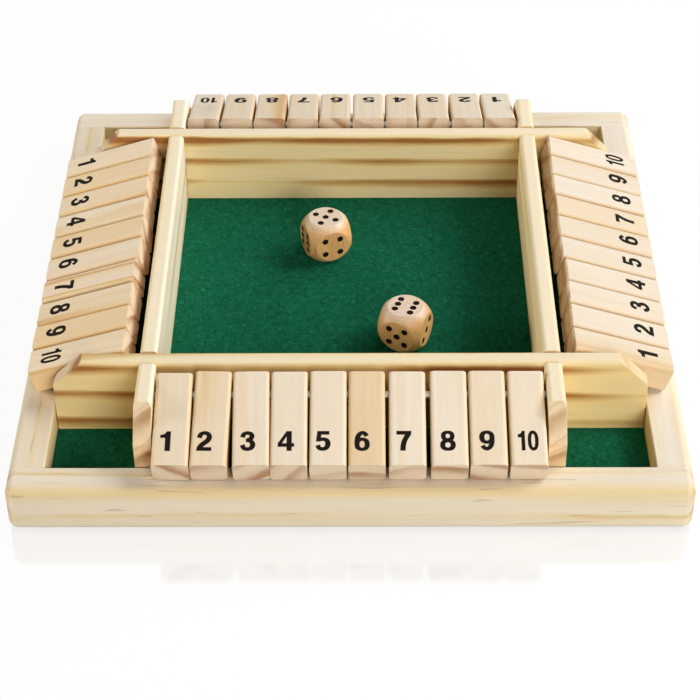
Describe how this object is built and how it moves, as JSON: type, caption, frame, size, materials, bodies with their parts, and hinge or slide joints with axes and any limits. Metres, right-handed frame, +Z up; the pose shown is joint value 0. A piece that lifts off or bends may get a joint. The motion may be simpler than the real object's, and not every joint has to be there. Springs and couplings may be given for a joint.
{
  "type": "shut the box game",
  "caption": "Square tray with a felt floor and a grid of planks, rows of numbered tiles that flip up on rods along its sides, and dice.",
  "frame": {"origin": "middle of the tray's underside", "axes": "+Z up, -Y towards the front side of the tray, +X to the right"},
  "size_m": [0.22, 0.22, 0.0368],
  "materials": {
    "rail_pine": "pale pine, sanded and clear lacquered",
    "plank_pine": "yellow pine with strong grain, clear lacquered",
    "base_board": "thin raw board",
    "green_felt": "fibrous green felt",
    "rod_steel": "bright drawn wire",
    "tile_pine": "pale pine, sanded",
    "die_wood": "waxed pale wood",
    "black_ink": "printed black ink"
  },
  "bodies": {
    "board": {"base_panel": "base_board", "felt_lining": "green_felt", "front_rail": "rail_pine", "right_rail": "rail_pine", "back_rail": "rail_pine", "left_rail": "rail_pine", "front_plank": "plank_pine", "right_plank": "plank_pine", "back_plank": "plank_pine", "left_plank": "plank_pine", "front_rod": "rod_steel", "right_rod": "rod_steel", "back_rod": "rod_steel", "left_rod": "rod_steel"},
    "back_die": {"back_die": "die_wood"},
    "front_die": {"front_die": "die_wood"},
    "front_tile_1": {"front_tile_1": "tile_pine"},
    "front_tile_2": {"front_tile_2": "tile_pine"},
    "front_tile_3": {"front_tile_3": "tile_pine"},
    "front_tile_4": {"front_tile_4": "tile_pine"},
    "front_tile_5": {"front_tile_5": "tile_pine"},
    "front_tile_6": {"front_tile_6": "tile_pine"},
    "front_tile_7": {"front_tile_7": "tile_pine"},
    "front_tile_8": {"front_tile_8": "tile_pine"},
    "front_tile_9": {"front_tile_9": "tile_pine"},
    "front_tile_10": {"front_tile_10": "tile_pine"},
    "right_tile_1": {"right_tile_1": "tile_pine"},
    "right_tile_2": {"right_tile_2": "tile_pine"},
    "right_tile_3": {"right_tile_3": "tile_pine"},
    "right_tile_4": {"right_tile_4": "tile_pine"},
    "right_tile_5": {"right_tile_5": "tile_pine"},
    "right_tile_6": {"right_tile_6": "tile_pine"},
    "right_tile_7": {"right_tile_7": "tile_pine"},
    "right_tile_8": {"right_tile_8": "tile_pine"},
    "right_tile_9": {"right_tile_9": "tile_pine"},
    "right_tile_10": {"right_tile_10": "tile_pine"},
    "back_tile_1": {"back_tile_1": "tile_pine"},
    "back_tile_2": {"back_tile_2": "tile_pine"},
    "back_tile_3": {"back_tile_3": "tile_pine"},
    "back_tile_4": {"back_tile_4": "tile_pine"},
    "back_tile_5": {"back_tile_5": "tile_pine"},
    "back_tile_6": {"back_tile_6": "tile_pine"},
    "back_tile_7": {"back_tile_7": "tile_pine"},
    "back_tile_8": {"back_tile_8": "tile_pine"},
    "back_tile_9": {"back_tile_9": "tile_pine"},
    "back_tile_10": {"back_tile_10": "tile_pine"},
    "left_tile_1": {"left_tile_1": "tile_pine"},
    "left_tile_2": {"left_tile_2": "tile_pine"},
    "left_tile_3": {"left_tile_3": "tile_pine"},
    "left_tile_4": {"left_tile_4": "tile_pine"},
    "left_tile_5": {"left_tile_5": "tile_pine"},
    "left_tile_6": {"left_tile_6": "tile_pine"},
    "left_tile_7": {"left_tile_7": "tile_pine"},
    "left_tile_8": {"left_tile_8": "tile_pine"},
    "left_tile_9": {"left_tile_9": "tile_pine"},
    "left_tile_10": {"left_tile_10": "tile_pine"}
  },
  "joints": [
    {"name": "back_die_lift", "type": "slide", "parent": "board", "child": "back_die", "axis": [0, 0, 1], "range_m": [0, 0.06]},
    {"name": "front_die_lift", "type": "slide", "parent": "board", "child": "front_die", "axis": [0, 0, 1], "range_m": [0, 0.06]},
    {"name": "front_tile_1_flip", "type": "hinge", "parent": "board", "child": "front_tile_1", "pos_m": [0, -0.07866, 0.03035], "axis": [-1, 0, 0], "range_deg": [0, 130]},
    {"name": "front_tile_5_flip", "type": "hinge", "parent": "board", "child": "front_tile_5", "pos_m": [0, -0.07866, 0.03035], "axis": [-1, 0, 0], "range_deg": [0, 142]},
    {"name": "front_tile_10_flip", "type": "hinge", "parent": "board", "child": "front_tile_10", "pos_m": [0, -0.07866, 0.03035], "axis": [-1, 0, 0], "range_deg": [0, 130]},
    {"name": "right_tile_1_flip", "type": "hinge", "parent": "board", "child": "right_tile_1", "pos_m": [0.07866, 0, 0.03035], "axis": [0, -1, 0], "range_deg": [0, 130]},
    {"name": "right_tile_5_flip", "type": "hinge", "parent": "board", "child": "right_tile_5", "pos_m": [0.07866, 0, 0.03035], "axis": [0, -1, 0], "range_deg": [0, 142]},
    {"name": "right_tile_10_flip", "type": "hinge", "parent": "board", "child": "right_tile_10", "pos_m": [0.07866, 0, 0.03035], "axis": [0, -1, 0], "range_deg": [0, 130]},
    {"name": "back_tile_1_flip", "type": "hinge", "parent": "board", "child": "back_tile_1", "pos_m": [0, 0.07866, 0.03035], "axis": [1, 0, 0], "range_deg": [0, 130]},
    {"name": "back_tile_5_flip", "type": "hinge", "parent": "board", "child": "back_tile_5", "pos_m": [0, 0.07866, 0.03035], "axis": [1, 0, 0], "range_deg": [0, 142]},
    {"name": "back_tile_10_flip", "type": "hinge", "parent": "board", "child": "back_tile_10", "pos_m": [0, 0.07866, 0.03035], "axis": [1, 0, 0], "range_deg": [0, 130]},
    {"name": "left_tile_1_flip", "type": "hinge", "parent": "board", "child": "left_tile_1", "pos_m": [-0.07866, 0, 0.03035], "axis": [0, 1, 0], "range_deg": [0, 130]},
    {"name": "left_tile_5_flip", "type": "hinge", "parent": "board", "child": "left_tile_5", "pos_m": [-0.07866, 0, 0.03035], "axis": [0, 1, 0], "range_deg": [0, 142]},
    {"name": "left_tile_10_flip", "type": "hinge", "parent": "board", "child": "left_tile_10", "pos_m": [-0.07866, 0, 0.03035], "axis": [0, 1, 0], "range_deg": [0, 130]},
    {"name": "front_tile_2_flip", "type": "hinge", "parent": "board", "child": "front_tile_2", "pos_m": [0, -0.07866, 0.03035], "axis": [-1, 0, 0], "range_deg": [0, 142]},
    {"name": "front_tile_3_flip", "type": "hinge", "parent": "board", "child": "front_tile_3", "pos_m": [0, -0.07866, 0.03035], "axis": [-1, 0, 0], "range_deg": [0, 142]},
    {"name": "front_tile_4_flip", "type": "hinge", "parent": "board", "child": "front_tile_4", "pos_m": [0, -0.07866, 0.03035], "axis": [-1, 0, 0], "range_deg": [0, 142]},
    {"name": "front_tile_6_flip", "type": "hinge", "parent": "board", "child": "front_tile_6", "pos_m": [0, -0.07866, 0.03035], "axis": [-1, 0, 0], "range_deg": [0, 142]},
    {"name": "front_tile_7_flip", "type": "hinge", "parent": "board", "child": "front_tile_7", "pos_m": [0, -0.07866, 0.03035], "axis": [-1, 0, 0], "range_deg": [0, 142]},
    {"name": "front_tile_8_flip", "type": "hinge", "parent": "board", "child": "front_tile_8", "pos_m": [0, -0.07866, 0.03035], "axis": [-1, 0, 0], "range_deg": [0, 142]},
    {"name": "front_tile_9_flip", "type": "hinge", "parent": "board", "child": "front_tile_9", "pos_m": [0, -0.07866, 0.03035], "axis": [-1, 0, 0], "range_deg": [0, 142]},
    {"name": "right_tile_2_flip", "type": "hinge", "parent": "board", "child": "right_tile_2", "pos_m": [0.07866, 0, 0.03035], "axis": [0, -1, 0], "range_deg": [0, 142]},
    {"name": "right_tile_3_flip", "type": "hinge", "parent": "board", "child": "right_tile_3", "pos_m": [0.07866, 0, 0.03035], "axis": [0, -1, 0], "range_deg": [0, 142]},
    {"name": "right_tile_4_flip", "type": "hinge", "parent": "board", "child": "right_tile_4", "pos_m": [0.07866, 0, 0.03035], "axis": [0, -1, 0], "range_deg": [0, 142]},
    {"name": "right_tile_6_flip", "type": "hinge", "parent": "board", "child": "right_tile_6", "pos_m": [0.07866, 0, 0.03035], "axis": [0, -1, 0], "range_deg": [0, 142]},
    {"name": "right_tile_7_flip", "type": "hinge", "parent": "board", "child": "right_tile_7", "pos_m": [0.07866, 0, 0.03035], "axis": [0, -1, 0], "range_deg": [0, 142]},
    {"name": "right_tile_8_flip", "type": "hinge", "parent": "board", "child": "right_tile_8", "pos_m": [0.07866, 0, 0.03035], "axis": [0, -1, 0], "range_deg": [0, 142]},
    {"name": "right_tile_9_flip", "type": "hinge", "parent": "board", "child": "right_tile_9", "pos_m": [0.07866, 0, 0.03035], "axis": [0, -1, 0], "range_deg": [0, 142]},
    {"name": "back_tile_2_flip", "type": "hinge", "parent": "board", "child": "back_tile_2", "pos_m": [0, 0.07866, 0.03035], "axis": [1, 0, 0], "range_deg": [0, 142]},
    {"name": "back_tile_3_flip", "type": "hinge", "parent": "board", "child": "back_tile_3", "pos_m": [0, 0.07866, 0.03035], "axis": [1, 0, 0], "range_deg": [0, 142]},
    {"name": "back_tile_4_flip", "type": "hinge", "parent": "board", "child": "back_tile_4", "pos_m": [0, 0.07866, 0.03035], "axis": [1, 0, 0], "range_deg": [0, 142]},
    {"name": "back_tile_6_flip", "type": "hinge", "parent": "board", "child": "back_tile_6", "pos_m": [0, 0.07866, 0.03035], "axis": [1, 0, 0], "range_deg": [0, 142]},
    {"name": "back_tile_7_flip", "type": "hinge", "parent": "board", "child": "back_tile_7", "pos_m": [0, 0.07866, 0.03035], "axis": [1, 0, 0], "range_deg": [0, 142]},
    {"name": "back_tile_8_flip", "type": "hinge", "parent": "board", "child": "back_tile_8", "pos_m": [0, 0.07866, 0.03035], "axis": [1, 0, 0], "range_deg": [0, 142]},
    {"name": "back_tile_9_flip", "type": "hinge", "parent": "board", "child": "back_tile_9", "pos_m": [0, 0.07866, 0.03035], "axis": [1, 0, 0], "range_deg": [0, 142]},
    {"name": "left_tile_2_flip", "type": "hinge", "parent": "board", "child": "left_tile_2", "pos_m": [-0.07866, 0, 0.03035], "axis": [0, 1, 0], "range_deg": [0, 142]},
    {"name": "left_tile_3_flip", "type": "hinge", "parent": "board", "child": "left_tile_3", "pos_m": [-0.07866, 0, 0.03035], "axis": [0, 1, 0], "range_deg": [0, 142]},
    {"name": "left_tile_4_flip", "type": "hinge", "parent": "board", "child": "left_tile_4", "pos_m": [-0.07866, 0, 0.03035], "axis": [0, 1, 0], "range_deg": [0, 142]},
    {"name": "left_tile_6_flip", "type": "hinge", "parent": "board", "child": "left_tile_6", "pos_m": [-0.07866, 0, 0.03035], "axis": [0, 1, 0], "range_deg": [0, 142]},
    {"name": "left_tile_7_flip", "type": "hinge", "parent": "board", "child": "left_tile_7", "pos_m": [-0.07866, 0, 0.03035], "axis": [0, 1, 0], "range_deg": [0, 142]},
    {"name": "left_tile_8_flip", "type": "hinge", "parent": "board", "child": "left_tile_8", "pos_m": [-0.07866, 0, 0.03035], "axis": [0, 1, 0], "range_deg": [0, 142]},
    {"name": "left_tile_9_flip", "type": "hinge", "parent": "board", "child": "left_tile_9", "pos_m": [-0.07866, 0, 0.03035], "axis": [0, 1, 0], "range_deg": [0, 142]}
  ]
}
